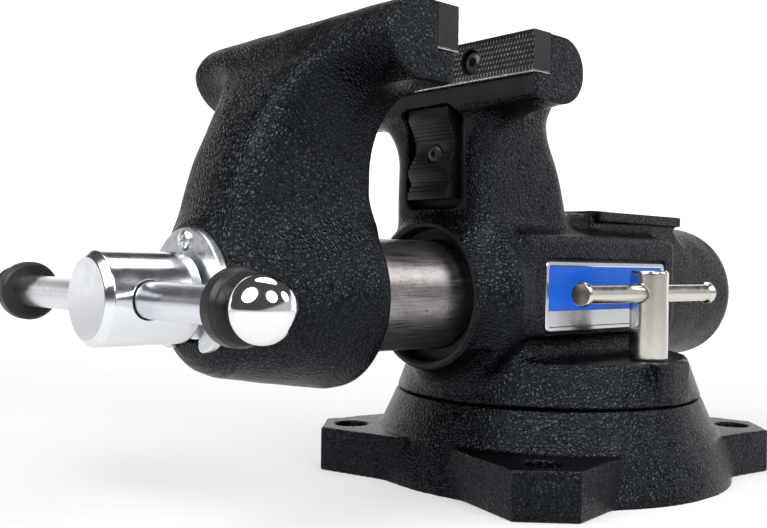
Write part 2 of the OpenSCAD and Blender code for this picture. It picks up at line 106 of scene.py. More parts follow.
def carve(a, tool, k):
    """A body with a tool taken out, and the edge rounded over about k."""
    return smax(a, -tool, k)


def slab(c, low, high):
    """A layer between two heights."""
    return np.abs(c - (low + high) / 2) - (high - low) / 2


def block(x, y, z, low, high, r=0.0):
    """A box with edges rounded to r."""
    q = [slab(c, a + r, b - r) for c, a, b in zip((x, y, z), low, high)]
    outside = np.sqrt(np.maximum(q[0], 0) ** 2 + np.maximum(q[1], 0) ** 2 + np.maximum(q[2], 0) ** 2)
    return outside + np.minimum(np.maximum(np.maximum(q[0], q[1]), q[2]), 0) - r


def from_axis(x, z):
    """The distance from the screw's axis."""
    return np.hypot(x, z - AXIS_Z)


def plate(u, v, half_u, half_v, r):
    """A flat rectangle with rounded corners."""
    a, b = np.abs(u) - half_u + r, np.abs(v) - half_v + r
    return np.hypot(np.maximum(a, 0), np.maximum(b, 0)) + np.minimum(np.maximum(a, b), 0) - r


def outline(u, v, points):
    """The signed distance to a closed polygon."""
    best, sign = None, None
    for (u0, v0), (u1, v1) in zip(points, points[1:] + points[:1]):
        eu, ev = u1 - u0, v1 - v0
        wu, wv = u - u0, v - v0
        t = np.clip((wu * eu + wv * ev) / (eu * eu + ev * ev), 0, 1)
        d = (wu - eu * t) ** 2 + (wv - ev * t) ** 2
        above, below, left = v >= v0, v < v1, eu * wv > ev * wu
        flip = np.where((above & below & left) | (~above & ~below & ~left), -1.0, 1.0)
        best = d if best is None else np.minimum(best, d)
        sign = flip if sign is None else sign * flip
    return sign * np.sqrt(best)


class Table:
    """A polygon's distance, looked up from a fine table, for round forms on large grids."""
    STEP = 0.4

    def __init__(self, points, margin=40.0):
        p = np.array(points)
        self.low = p.min(0) - margin
        n = np.ceil((p.max(0) + margin - self.low) / self.STEP).astype(int) + 1
        u = self.low[0] + np.arange(n[0])[:, None] * self.STEP
        v = self.low[1] + np.arange(n[1])[None, :] * self.STEP
        self.d = outline(u, v, [tuple(q) for q in points]).astype(np.float32)

    def __call__(self, u, v):
        fu = np.clip((u - self.low[0]) / self.STEP, 0, self.d.shape[0] - 1.001)
        fv = np.clip((v - self.low[1]) / self.STEP, 0, self.d.shape[1] - 1.001)
        i, j = fu.astype(int), fv.astype(int)
        a, b = fu - i, fv - j
        near = self.d[i, j] * (1 - a) + self.d[i + 1, j] * a
        far = self.d[i, j + 1] * (1 - a) + self.d[i + 1, j + 1] * a
        return near * (1 - b) + far * b


def flare(x, z, half, r, top):
    """A column's sides, which sweep out with radius r to an underside at height top."""
    u = np.abs(x) - (half + r)
    v = z - (top - r)
    return r - np.hypot(np.minimum(u, 0), np.maximum(v, 0))


def uneven(x, y, z, size, amount):
    """The slow unevenness of a sand casting."""
    w = 2 * pi / size
    return amount * (np.sin(w * x + 1.3 * np.sin(w * 0.6 * y)) * np.cos(w * 0.9 * y + 0.7)
                     + np.sin(w * 0.8 * z + 1.1 * np.cos(w * 0.7 * x)) * np.cos(w * 1.1 * y + 2.0))


# ---------------------------------------------------------------- meshes

def linked(name, data):
    """A new object with this data, in the scene."""
    obj = bpy.data.objects.new(name, data)
    bpy.context.scene.collection.objects.link(obj)
    return obj


def from_bmesh(name, bm):
    """A new object with a bmesh's result."""
    mesh = bpy.data.meshes.new(name)
    bm.to_mesh(mesh)
    bm.free()
    return linked(name, mesh)


def add_mesh(name, verts, faces):
    """A smooth mesh object from vertices in millimetres."""
    mesh = bpy.data.meshes.new(name)
    mesh.from_pydata((np.asarray(verts, float) * MM).tolist(), [], faces)
    mesh.update()
    mesh.shade_smooth()
    return linked(name, mesh)


def quad_mesh(name, verts, quads):
    """The same for many quads, filled straight from arrays."""
    mesh = bpy.data.meshes.new(name)
    mesh.vertices.add(len(verts))
    mesh.vertices.foreach_set("co", (verts * MM).astype(np.float32).ravel())
    mesh.loops.add(len(quads) * 4)
    mesh.loops.foreach_set("vertex_index", quads.astype(np.int32).ravel())
    mesh.polygons.add(len(quads))
    mesh.polygons.foreach_set("loop_start", (np.arange(len(quads)) * 4).astype(np.int32))
    mesh.polygons.foreach_set("loop_total", np.full(len(quads), 4, np.int32))
    mesh.update(calc_edges=True)
    mesh.validate()
    return linked(name, mesh)


def apply(obj, kind, **settings):
    """Adds a modifier, and keeps its result as the object's mesh."""
    mod = obj.modifiers.new(kind.lower(), kind)
    for key, value in settings.items():
        setattr(mod, key, value)
    evaluated = obj.evaluated_get(bpy.context.evaluated_depsgraph_get())
    mesh = bpy.data.meshes.new_from_object(evaluated)
    obj.modifiers.clear()
    old, obj.data = obj.data, mesh
    bpy.data.meshes.remove(old)
    return obj


def slope(field, p, eps):
    """A field's gradient at points."""
    g = np.empty_like(p)
    for axis in range(3):
        a, b = p.copy(), p.copy()
        a[:, axis] += eps
        b[:, axis] -= eps
        g[:, axis] = (field(*a.T) - field(*b.T)) / (2 * eps)
    return g


def cast(name, field, low, high, step, most=190_000):
    """Meshes the surface where field is zero, and shades it with the field's own slope."""
    axes = [np.arange(a - 2 * step, b + 3 * step, step, dtype=np.float32) for a, b in zip(low, high)]
    d = field(axes[0][:, None, None], axes[1][None, :, None], axes[2][None, None, :])
    band = 3 * step
    grid = openvdb.FloatGrid(band)
    grid.copyFromArray(np.clip(d, -band, band).astype(np.float32), tolerance=1e-4)
    points, quads = grid.convertToQuads(0.0)
    points = np.array([a[0] for a in axes]) + points.astype(float) * step
    for _ in range(2):
        g = slope(field, points, 0.25 * step)
        size = np.maximum((g ** 2).sum(1, keepdims=True), 0.25)
        move = field(*points.T)[:, None] * g / size
        points = points - np.clip(move, -0.4 * step, 0.4 * step)
    a, b, c = (points[quads[:, i]] for i in (0, 1, 2))
    volume = np.einsum("ij,ij->i", a, np.cross(b, c)).sum()
    quads = quads if volume > 0 else quads[:, ::-1]
    obj = quad_mesh(name, points, quads)
    if 2 * len(quads) > most:
        apply(obj, "DECIMATE", ratio=most / (2 * len(quads)))
    co = np.empty(len(obj.data.vertices) * 3, np.float32)
    obj.data.vertices.foreach_get("co", co)
    inside = np.clip(co.reshape(-1, 3), np.array(low) * MM, np.array(high) * MM)
    obj.data.vertices.foreach_set("co", inside.astype(np.float32).ravel())
    shade(obj, field, 0.3 * step)
    return obj


def shade(obj, field, eps):
    """Sets a mesh's normals from its field, so that reflections run smoothly over it."""
    mesh = obj.data
    mesh.shade_smooth()
    co = np.empty(len(mesh.vertices) * 3, np.float32)
    mesh.vertices.foreach_get("co", co)
    g = slope(field, co.reshape(-1, 3).astype(float) / MM, eps)
    g /= np.maximum(np.linalg.norm(g, axis=1, keepdims=True), 1e-6)
    mesh.normals_split_custom_set_from_vertices(g.tolist())


# ---------------------------------------------------------------- castings

def front_casting(x, y, z):
    """The moving jaw: a nose round the screw, a swept column and the jaw's bar."""
    rho = from_axis(x, z)
    body = NOSE(rho, y)
    # the column: an arc in front that widens into the bar along a soft ridge
    rise = np.clip((MOVING_FACE - 23.8 - y) / 20, 0, 1)
    sides = flare(x, z, 24.5, 34 + 6 * rise, 184.6 + 20.4 * rise)
    crown = 2.4 * (np.minimum(np.abs(x), 26) / 24.5) ** 2 * np.clip((196 - z) / 30, 0, 1)
    front = np.hypot(y - (NOSE_Y + ARC_R), z - ARC_Z) - ARC_R + crown
    column = smax(smax(sides, front, 8.0), y - COLUMN_BACK, 2.5)
    column = smax(column, AXIS_Z - z, 2.0)
    column = smax(smax(column, z - JAW_TOP, 2.0), np.abs(x) - JAW_X + 1.5, 3.0)
    body = smin(body, column, 11.0)
    body = smin(body, bar(x, y, z, MOVING_FACE, FRONT_LOBE_R, -1), 5.0)
    body = body + uneven(x, y, z, 26.0, 0.1)
    # the insert's seat, the pipe jaw's pocket and the bores
    body = carve(body, smax(MOVING_SEAT - y, INSERT_Z - z, 0.3), 0.7)
    body = carve(body, pipe_pocket(x, y, z, COLUMN_BACK, -1), 1.0)
    body = carve(body, smax(rho - TUBE_R - 0.1, NOSE_Y + 26.9 - y, 1), 0.6)
    body = carve(body, smax(rho - 17.5, y - (NOSE_Y + 15.1), 1), 1.2)
    return smax(body, 14.0 - rho, 0.8)


def bar(x, y, z, face, lobe_r, way):
    """A jaw's bar: a round back, a flat top and a ledge under the insert."""
    lobe_y = face + way * (BAR_DEPTH - lobe_r)
    lobe = np.hypot(y - lobe_y, z - (JAW_TOP - lobe_r)) - lobe_r
    front = way * (face + way * LEDGE - y)
    trunk = smax(slab(z, JAW_TOP - 2 * lobe_r, JAW_TOP), front, 4.0)
    trunk = np.where(way * (y - lobe_y) > 0, lobe, trunk)
    return smax(trunk, np.abs(x) - JAW_X, 1.2)


def pipe_pocket(x, y, z, face, way):
    """The pocket that a pipe jaw sits in, with rounded corners."""
    middle = (PIPE_LOW[2] + PIPE_HIGH[2] - 4) / 2
    flat = plate(x - 1.2, z - middle, 19.2, (PIPE_HIGH[2] - PIPE_LOW[2]) / 2 + 2.4, 7.0)
    floor = face + way * 6.0
    return smax(flat, way * (y - floor), 1.5)


NOSE = Table([(0, NOSE_Y), (24.5, NOSE_Y), (28, NOSE_Y + 1.4), (30.8, NOSE_Y + 4.8), (32.8, NOSE_Y + 10),
              (36.2, NOSE_Y + 30), (39.6, NOSE_Y + 53), (41.3, NOSE_Y + 65), (40.9, COLUMN_BACK - 3),
              (39.2, COLUMN_BACK - 0.7), (37, COLUMN_BACK), (0, COLUMN_BACK)])

BODY = Table([(0, COLUMN_FRONT - 5.3), (35.6, COLUMN_FRONT - 5.3), (37.3, COLUMN_FRONT - 4),
              (38.2, COLUMN_FRONT + 0.5), (39.4, COLUMN_FRONT + 4.5), (42, COLUMN_FRONT + 8.5),
              (45.2, COLUMN_FRONT + 12), (46.3, COLUMN_FRONT + 15), (46.2, COLUMN_FRONT + 18),
              (44.6, COLUMN_FRONT + 23), (42.4, COLUMN_FRONT + 28), (40.3, COLUMN_FRONT + 36)]
             + [(40.3 * cos(radians(a)), BODY_END - 21.6 + 21.6 * sin(radians(a))) for a in range(0, 91, 6)])
TURNTABLE = Table([(0, SEAM_Z), (81.6, SEAM_Z), (82.8, SEAM_Z + 1.1), (76.2, TABLE_TOP - 1.4),
                   (74.8, TABLE_TOP), (0, TABLE_TOP)])


def body_casting(x, y, z):
    """The fixed jaw, the barrel, the anvil and the turntable, cast in one."""
    rho = from_axis(x, z)
    ring = np.hypot(x, y)
    ax = np.abs(x)
    body = BODY(rho, y)
    # the flat sides with their sloped shoulders, and the foot
    shoulder = z - 127 - 0.22 * (43 - ax)
    cheeks = smax(smax(smax(ax - 43, shoulder, 4.5), slab(y, -70, 63), 5.0), 77 - z, 3.0)
    body = smin(body, cheeks, 5.0)
    body = smin(body, block(x, y, z, (-38, -63, 48), (38, 58, 84), 7.0), 6.0)
    # the turntable and the flat-faced blocks round the lock bolts
    table = TURNTABLE(ring, z)
    lock_block = smax(smax(np.abs(y) - 14, ring - 82.4, 1.2), slab(z, SEAM_Z + 0.4, TABLE_TOP), 1.2)
    table = smin(table, smax(lock_block, 60 - ax, 1.0), 0.8)
    table = smin(table, smax(smax(slab(z, SEAM_Z + 1, TABLE_TOP), np.abs(x) - 0.7, 0.6),
                             smax(ring - 83.2 + 0.33 * (z - SEAM_Z), 60 - ring, 1), 0.6), 0.6)
    body = smin(body, table, 9.0)
    # the column: a flat front with rounded corners and an arc behind
    sides = flare(x, z, 30.0, 24.0, JAW_TOP - 2 * REAR_LOBE_R + 0.25 * np.maximum(y + 80, 0))
    back = np.hypot(y + 148.5, z - ARC_Z) - ARC_R
    column = smax(smax(sides, COLUMN_FRONT - y, 12.0), back, 14.0)
    column = smax(smax(column, 75 - z, 1.0), z - JAW_TOP + 1, 1.0)
    column = smax(smax(column, smin(ax - 42, y + 66, 6.0), 6.0), ax - 60, 8.0)
    body = smin(body, column, 7.0)
    # the web to the anvil, its block and its flat top
    web = smax(smax(ax - 23, z - 141, 5.0), slab(y, -40, 14), 1.0)
    body = smin(body, smax(web, 90 - z, 1.0), 5.0)
    neck = smax(smax(ax - 25.5, slab(y, 12, 92), 4.0), slab(z, 95, 141.5), 1.0)
    body = smin(body, neck, 6.0)
    top = block(x, y, z, (-28, 10, 136.7), (28, 93.5, 142.4), 0.9)
    body = body + uneven(x, y, z, 30.0, 0.1)
    body = smin(body, top, 1.6)
    body = smin(body, bar(x, y, z, FIXED_FACE, REAR_LOBE_R, 1), 6.0)
    body = smin(body, smax(ring - 19.9, slab(z, 19.5, 60), 0.6), 0.6)
    # the insert's seat, the pipe jaw's pocket, the recesses of the nameplates and the bores
    body = carve(body, smax(y - FIXED_SEAT, INSERT_Z - z, 0.3), 0.7)
    body = carve(body, pipe_pocket(x, y, z, COLUMN_FRONT, 1), 1.2)
    middle_y, middle_z = (PLATE_LOW[1] + PLATE_HIGH[1]) / 2, (PLATE_LOW[2] + PLATE_HIGH[2]) / 2
    recess = plate(y - middle_y, z - middle_z, 54.2, 18.6, 3.4)
    body = carve(body, smax(recess, PLATE_LOW[0] - 0.05 - ax, 0.4), 0.6)
    body = carve(body, smax(rho - 33, y - (COLUMN_FRONT + 3), 1.0), 2.2)
    body = carve(body, smax(rho - TUBE_R - 0.15, y - 112, 0.5), 0.8)
    body = carve(body, smax(rho - 20.05, y - 136, 0.5), 0.5)
    hole = np.hypot(x - 21, z - AXIS_Z) - 1.5
    return carve(body, smax(hole, 135 - y, 0.5), 0.8)


SKIRT = [(98.7, 0), (98.2, 4), (96.4, 11), (93.5, 19), (90, 27.5), (86.5, 35), (83.2, BASE_TOP)]


def base_casting(x, y, z):
    """The swivel base: a domed skirt, four lugs that flow out of it and a ring slot."""
    ring = np.hypot(x, y)
    lug_h = 23.0
    radius = np.interp(z, [q[1] for q in SKIRT], [q[0] for q in SKIRT])
    skirt = (ring - radius) * 0.93
    dome = smax(smax(skirt, z - BASE_TOP, 1.6), -z, 1.0)
    out, half = 14.9 * sqrt(0.5), 14.8 * sqrt(0.5)
    lug = outline(np.abs(x), np.abs(y), [(0, 0), (18.5, 94.3), (BOLT[0] + out - half, BOLT[1] + out + half),
                                         (BOLT[0] + out + half, BOLT[1] + out - half), (79.1, 27.1)]) - 0.2
    foot = smax(smax(smin(lug, skirt, 3.5), z - lug_h, 1.3), -z, 1.0)
    body = smin(dome, foot, 2.2) + uneven(x, y, z, 30.0, 0.08) * np.clip((z - 1) / 3, 0, 1)
    holes = np.hypot(np.abs(x) - BOLT[0], np.abs(y) - BOLT[1]) - 9.0
    body = carve(body, holes, 1.2)
    body = smax(body, 20.15 - ring, 0.8)
    slot = smin(smax(slab(ring, 60, 71.2), 20 - z, 0.5),
                smax(slab(ring, 54.6, 76.6), slab(z, 20, 33), 0.5), 0.5)
    relief = smax(slab(ring, 30, 86), z - 4, 1.0)
    return carve(carve(body, slot, 0.6), relief, 1.0)


# ---------------------------------------------------------------- turned and cut pieces

def rounded(points, radius, steps=4):
    """An outline with its inner corners rounded."""
    out = [Vector(points[0])]
    for before, corner, after in zip(points, points[1:], points[2:]):
        p = Vector(corner)
        a, b = Vector(before) - p, Vector(after) - p
        u, v = a.normalized(), b.normalized()
        half = u.angle(v) / 2
        reach = min(radius / tan(half), 0.49 * a.length, 0.49 * b.length)
        middle = p + (u + v).normalized() * (reach / cos(half))
        start, end = p + u * reach - middle, p + v * reach - middle
        turn = start.angle_signed(end)
        for k in range(steps + 1):
            out.append(middle + Matrix.Rotation(-turn * k / steps, 2) @ start)
    return out + [Vector(points[-1])]


def belt(rows, around):
    """The quads between rows of points, each row closed on itself."""
    return [(j * around + i, j * around + (i + 1) % around, (j + 1) * around + (i + 1) % around, (j + 1) * around + i)
            for j in range(rows - 1) for i in range(around)]


def lathe(name, profile, axis, centre, segments=96, sharp=40):
    """Turns a profile of (radius, distance along the axis) points. centre gives the other two places."""
    order = {"X": (2, 0, 1), "Y": (0, 2, 1), "Z": (0, 1, 2)}[axis]
    centre = list(centre)
    centre.insert("XYZ".index(axis), 0)
    verts, faces = [], []
    for i in range(segments):
        a = 2 * pi * i / segments
        for r, t in profile:
            v = (r * cos(a), r * sin(a), t)
            verts.append([v[order[0]] + centre[0], v[order[1]] + centre[1], v[order[2]] + centre[2]])
    n = len(profile)
    for i in range(segments):
        j = (i + 1) % segments
        for k in range(n - 1):
            faces.append((i * n + k, j * n + k, j * n + k + 1, i * n + k + 1))
    obj = add_mesh(name, verts, faces)
    tidy(obj, sharp)
    return obj


def crease(obj, sharp):
    """Smooth shading that breaks at edges sharper than an angle in degrees."""
    obj.data.shade_smooth()
    obj.data.set_sharp_from_angle(angle=radians(sharp))


def tidy(obj, sharp):
    """Welds a mesh, turns its faces outward and splits its shading at sharp edges."""
    bm = bmesh.new()
    bm.from_mesh(obj.data)
    bmesh.ops.remove_doubles(bm, verts=bm.verts, dist=1e-6)
    bmesh.ops.dissolve_degenerate(bm, edges=bm.edges, dist=1e-6)
    bmesh.ops.recalc_face_normals(bm, faces=bm.faces)
    bm.to_mesh(obj.data)
    bm.free()
    crease(obj, sharp)


def cut_out(obj, *tools, sharp):
    """Takes the tools' volumes out of an object."""
    for tool in tools:
        apply(obj, "BOOLEAN", operation="DIFFERENCE", solver="EXACT", object=tool)
        bpy.data.objects.remove(tool)
    crease(obj, sharp)


def handle_head(x, y, z):
    """The screw's head, with the cross hole for the bar, and its neck and collar."""
    rho = from_axis(x, z)
    front, head_r = SCREW_LOW[1], SCREW_HIGH[0]
    head = smax(rho - head_r, slab(y, front, NOSE_Y - 6.4), 0.4)
    head = smax(head, (rho - head_r + front + 2.5 - y) * 0.707, 0.3)
    bar_r = box_mm("handle_bar")[1][2] - AXIS_Z
    head = carve(head, np.hypot(y - BAR_Y, z - AXIS_Z) - bar_r - 0.45, 0.4)
    neck = smax(rho - 10.3, slab(y, NOSE_Y - 9, NOSE_Y + 3), 0.3)
    collar = smax(rho - 17, slab(y, NOSE_Y + 0.3, NOSE_Y + 12), 0.8)
    return smin(smin(head, neck, 2.0), collar, 0.6)


def lock_post(side):
    """A lock nut: a round post with rounded ends and a cross hole for its bar."""
    low, high = box_mm("lock_nut_right")
    radius = (high[0] - low[0]) / 2

    def field(x, y, z):
        ring = np.hypot(x - side * LOCK_X, y)
        post = smax(ring - radius, slab(z, low[2], high[2]), 2.0)
        hole = np.hypot(x - side * LOCK_X, z - LOCK_BAR_Z) - 4.62
        post = carve(post, hole, 0.9)
        return carve(post, smax(ring - 5.1, z - low[2] - 19, 0.5), 0.5)
    return field


def socket_head(x, y, z, radius, height, hexagon):
    """A domed socket head at the origin that points to +Z."""
    ring = np.hypot(x, y)
    dome = np.sqrt(ring ** 2 + (z + radius * 1.9 - height) ** 2) - radius * 1.9
    head = smax(smax(smax(ring - radius, dome, 0.6), z - height, 0.5), -z, 0.2)
    flats = np.maximum(np.abs(x) - hexagon, np.abs(x * 0.5 + y * 0.866) - hexagon)
    flats = np.maximum(flats, np.abs(x * 0.5 - y * 0.866) - hexagon)
    return carve(head, np.maximum(flats, 0.7 - z), 0.2)


def phillips_head(x, y, z, radius, height):
    """A pan head at the origin that points to +Z, with a tapered cross."""
    ring = np.hypot(x, y)
    head = smax(smax(ring - radius, z - height + 0.035 * ring ** 2, 1.2), -z, 0.2)
    wing = 0.55 + 0.18 * (z - height)
    cross = np.minimum(np.maximum(np.abs(x) - wing, np.abs(y) - 2.5),
                       np.maximum(np.abs(y) - wing, np.abs(x) - 2.5))
    cross = np.maximum(cross, 0.2 + 0.45 * ring - z)
    return carve(head, cross, 0.15)


def screw_set(name, field, size, shank, length, places, way, roll=0.3):
    """Equal screws along Y. field draws a head from its size, which starts with its radius and height."""
    parts = []
    radius, height = size[:2]
    for i, middle in enumerate(places):
        turn = Matrix.Rotation(radians(90 * way), 4, "X") @ Matrix.Rotation(roll + 0.8 * i, 4, "Z")
        head = cast(f"{name}_{i}", lambda x, y, z: field(x, y, z, *size),
                    (-radius, -radius, 0), (radius, radius, height), 0.22)
        profile = rounded([(0, 0.2), (shank, 0.2), (shank, -length), (0, -length)], 0.5)
        stem = lathe(f"{name}_shank_{i}", profile, "Z", (0, 0), 32)
        for part in (head, stem):
            part.data.transform(Matrix.Translation(Vector(middle) * MM) @ turn)
            parts.append(part)
    return joined(name, parts)


def joined(name, parts):
    """Joins pieces into one object, and keeps their shading."""
    bm = bmesh.new()
    normals = []
    for part in parts:
        bm.from_mesh(part.data)
        part.data.update()
        normals += [tuple(n.vector) for n in part.data.corner_normals]
        bpy.data.objects.remove(part)
    mesh = bpy.data.meshes.new(name)
    bm.to_mesh(mesh)
    bm.free()
    mesh.shade_smooth()
    mesh.normals_split_custom_set(normals)
    return linked(name, mesh)


def counterbore(name, front, floor, back, way, head_r, shank_r, centre):
    """The tool for a screw's hole along Y, from a wide part in front to a narrow one behind its floor."""
    profile = [(0, front - way), (head_r, front - way), (head_r, floor), (shank_r, floor),
               (shank_r, back + way), (0, back + way)]
    return lathe(f"{name}_bore", profile, "Y", centre, 48)


def serrated_insert(name, face, seat):
    """A jaw insert with a diamond-cut face, counterbored for two screws."""
    way = 1 if seat > face else -1
    across, up, depth = TOOTH
    cols, rows = int(round(2 * JAW_X / across)), int(round((JAW_TOP - INSERT_Z) / up))
    a, b = 2 * JAW_X / cols, (JAW_TOP - INSERT_Z) / rows
    bm = bmesh.new()
    tip_wear_and_edge_highlight_layer = bm.verts.layers.float.new("tip")
    grid = {}

    def vertex(i, j):
        """The lattice at half pitches: tips where i + j is even, crossings of grooves elsewhere."""
        if (i, j) not in grid:
            tip = (i + j) % 2 == 0
            border = i in (0, 2 * cols) or j == 2 * rows
            sunk = 0 if tip else way * depth * (0.3 if border else 1)
            v = bm.verts.new((-JAW_X + a * i / 2, face + sunk, INSERT_Z + b * j / 2))
            # tips are rubbed bright by wear; the whole bottom row is made bright too, a painted highlight along the
            # insert's lower edge
            v[tip_wear_and_edge_highlight_layer] = 1.0 if tip or j == 0 else 0.0
            grid[i, j] = v
        return grid[i, j]

    for i in range(2 * cols):
        for j in range(2 * rows):
            corners = [vertex(i, j), vertex(i + 1, j), vertex(i + 1, j + 1), vertex(i, j + 1)]
            cut_at = 0 if (i + j) % 2 else 1
            # each cell is split along the groove, between its two low corners
            bm.faces.new([corners[cut_at], corners[cut_at + 1], corners[(cut_at + 2) % 4]])
            bm.faces.new([corners[cut_at], corners[(cut_at + 2) % 4], corners[(cut_at + 3) % 4]])
    wear_and_edge_highlight = 0.15
    for y in (face + way * 1.1, seat):
        rim = [e for e in bm.edges if e.is_boundary]
        moved = bmesh.ops.extrude_edge_only(bm, edges=rim)["geom"]
        for v in moved:
            if isinstance(v, bmesh.types.BMVert):
                v.co.y = y
                # the side faces stay dark, and their bottom edge gets the painted highlight along the insert's lower
                # edge
                v[tip_wear_and_edge_highlight_layer] = 1.0 if v.co.z < INSERT_Z + 0.1 else wear_and_edge_highlight
    bmesh.ops.contextual_create(bm, geom=[e for e in bm.edges if e.is_boundary])
    bmesh.ops.recalc_face_normals(bm, faces=bm.faces)
    for v in bm.verts:
        v.co *= MM
    obj = from_bmesh(name, bm)
    floor = face + way * INSERT_BORE
    tools = [counterbore(name, face, floor, seat, way, 5.9, 3.2, (x, MID_Z))
             for x in (-INSERT_SCREW_X, INSERT_SCREW_X)]
    cut_out(obj, *tools, sharp=20)
    return obj


def stairs(low, high, depth_low, depth_high, count):
    """Points of (height, depth) down a staircase of saw teeth."""
    points = []
    for i in range(count):
        t0, t1 = i / count, (i + 1) / count
        d0, d1 = depth_high + (depth_low - depth_high) * t0, depth_high + (depth_low - depth_high) * t1
        z0, z1 = high + (low - high) * t0, high + (low - high) * t1
        points += [(z0 + (z1 - z0) * 0.78, d0 + (d1 - d0) * 0.1), (z1, d1)]
    return points


def pipe_grip(name, node, way):
    """A pipe jaw: two hollows of saw teeth, one above the other, and a counterbored screw hole."""
    low, high = box_mm(node)
    front, back = (low[1], high[1]) if way > 0 else (high[1], low[1])
    bottom, top = low[2], high[2]
    profile = [(top, 0), (top - 4.7, 0)]
    profile += stairs(top - 15.2, top - 4.7, 5.6, 0, 6) + [(top - 20.6, 5.6)]
    profile += stairs(top - 29.6, top - 20.6, 0.3, 5.6, 4) + [(top - 32.2, 0.3)]
    profile += stairs(top - 36.5, top - 32.2, 2.4, 0.3, 3)
    profile += stairs(top - 41.2, top - 36.5, 0.3, 2.4, 2) + [(bottom, 0.3)]
    outline_yz = [(front + way * d, z) for z, d in profile] + [(back, bottom), (back, top)]
    bm = bmesh.new()
    verts = [bm.verts.new((low[0] * MM, y * MM, z * MM)) for y, z in outline_yz]
    face = bm.faces.new(verts)
    moved = bmesh.ops.extrude_face_region(bm, geom=[face])["geom"]
    bmesh.ops.translate(bm, verts=[v for v in moved if isinstance(v, bmesh.types.BMVert)],
                        vec=((high[0] - low[0]) * MM, 0, 0))
    bmesh.ops.recalc_face_normals(bm, faces=bm.faces)
    obj = from_bmesh(name, bm)
    floor = back - way * PIPE_SCREW_SEAT
    cut_out(obj, counterbore(name, front, floor, back, way, 5.2, 2.6, (0, (top + bottom) / 2)), sharp=25)
    apply(obj, "BEVEL", width=0.22 * MM, segments=2, limit_method="ANGLE", angle_limit=radians(40))
    crease(obj, 50)
    return obj


def keeper(name):
    """The keeper plate: a round plate, open below, that closes over the screw's neck."""
    low, high = box_mm("keeper_plate")
    radius, foot = high[0], low[2]

    def field(x, y, z):
        rho = from_axis(x, z)
        flat = smax(rho - radius, foot - z, 5.0)
        slot = np.where(z > AXIS_Z, rho, np.abs(x)) - 11.0
        flat = carve(flat, slot, 3.0)
        return smax(flat, slab(y, low[1], high[1]), 1.0)
    return cast(name, field, low, high, 0.5)


def name_plate(name, side):
    """A blank plate: a bright raised rim, a wide upper field and a narrow lower one."""
    low, high = box_mm("name_plate_right")
    half_y, half_z = (high[1] - low[1]) / 2, (high[2] - low[2]) / 2
    middle = ((low[1] + high[1]) / 2, (low[2] + high[2]) / 2)
    rings = [(0, 0.0, 3.0), (0, 0.85, 3.0), (0.35, 1.2, 2.8), (1.9, 1.2, 1.6), (2.4, 0.8, 1.2)]
    verts = []
    for inset, height, r in rings:
        for cu, cv, start in ((1, 1, 0), (-1, 1, 90), (-1, -1, 180), (1, -1, 270)):
            for k in range(7):
                a = radians(start + 15 * k)
                u = cu * (half_y - inset - r) + r * cos(a)
                v = cv * (half_z - inset - r) + r * sin(a)
                verts.append((side * (low[0] + height), middle[0] + side * u, middle[1] + v))
    n = 28
    faces = belt(len(rings), n)
    faces.append(tuple(reversed(range(n))))
    # the two fields meet at a thin raised line
    top = (len(rings) - 1) * n
    x, level = side * (low[0] + 0.8), middle[1] - half_z * 0.42
    inner = half_y - 2.4
    left, right = len(verts), len(verts) + 1
    verts += [(x, middle[0] - side * inner, level), (x, middle[0] + side * inner, level)]
    upper = [right] + [top + k for k in range(14)] + [left]
    lower = [left] + [top + k for k in range(14, 28)] + [right]
    faces += [tuple(upper), tuple(lower)]
    obj = add_mesh(name, verts, faces)
    tidy(obj, 25)
    return obj


def thread_rod(name, start, end, radius, lead, smooth):
    """The screw's shank: plain next to the collar, then a square-shouldered thread to a chamfered end."""
    around, rows = 48, int((end - start) / 0.55)
    verts = []
    for j in range(rows + 1):
        y = start + (end - start) * j / rows
        fade = min(max((y - start - smooth) / 4, 0), 1) * min(max((end - 1.5 - y) / 2, 0), 1)
        for i in range(around):
            a = 2 * pi * i / around
            phase = (y / lead - i / around) % 1.0
            groove = min(max(1.6 - abs(phase - 0.5) * 6, 0), 1)
            r = min(radius - 2.4 * groove * fade, radius - 2 + end - y)
            verts.append((r * cos(a), y, AXIS_Z + r * sin(a)))
    faces = belt(rows + 1, around) + [tuple(range(around)), tuple(range(rows * around, (rows + 1) * around))]
    obj = add_mesh(name, verts, faces)
    tidy(obj, 50)
    return obj


# ---------------------------------------------------------------- finishes

def map_range(tree, value, low, high, start, end, smooth=True):
    """A node that maps low..high to start..end."""
    node = tree.nodes.new("ShaderNodeMapRange")
    node.interpolation_type = "SMOOTHSTEP" if smooth else "LINEAR"
    tree.links.new(value, node.inputs["Value"])
    for socket, number in zip(("From Min", "From Max", "To Min", "To Max"), (low, high, start, end)):
        node.inputs[socket].default_value = number
    return node.outputs["Result"]


def along_vector(tree, value, direction):
    """A node that measures a vector along a direction."""
    node = tree.nodes.new("ShaderNodeVectorMath")
    node.operation = "DOT_PRODUCT"
    tree.links.new(value, node.inputs[0])
    node.inputs[1].default_value = direction
    return node.outputs["Value"]


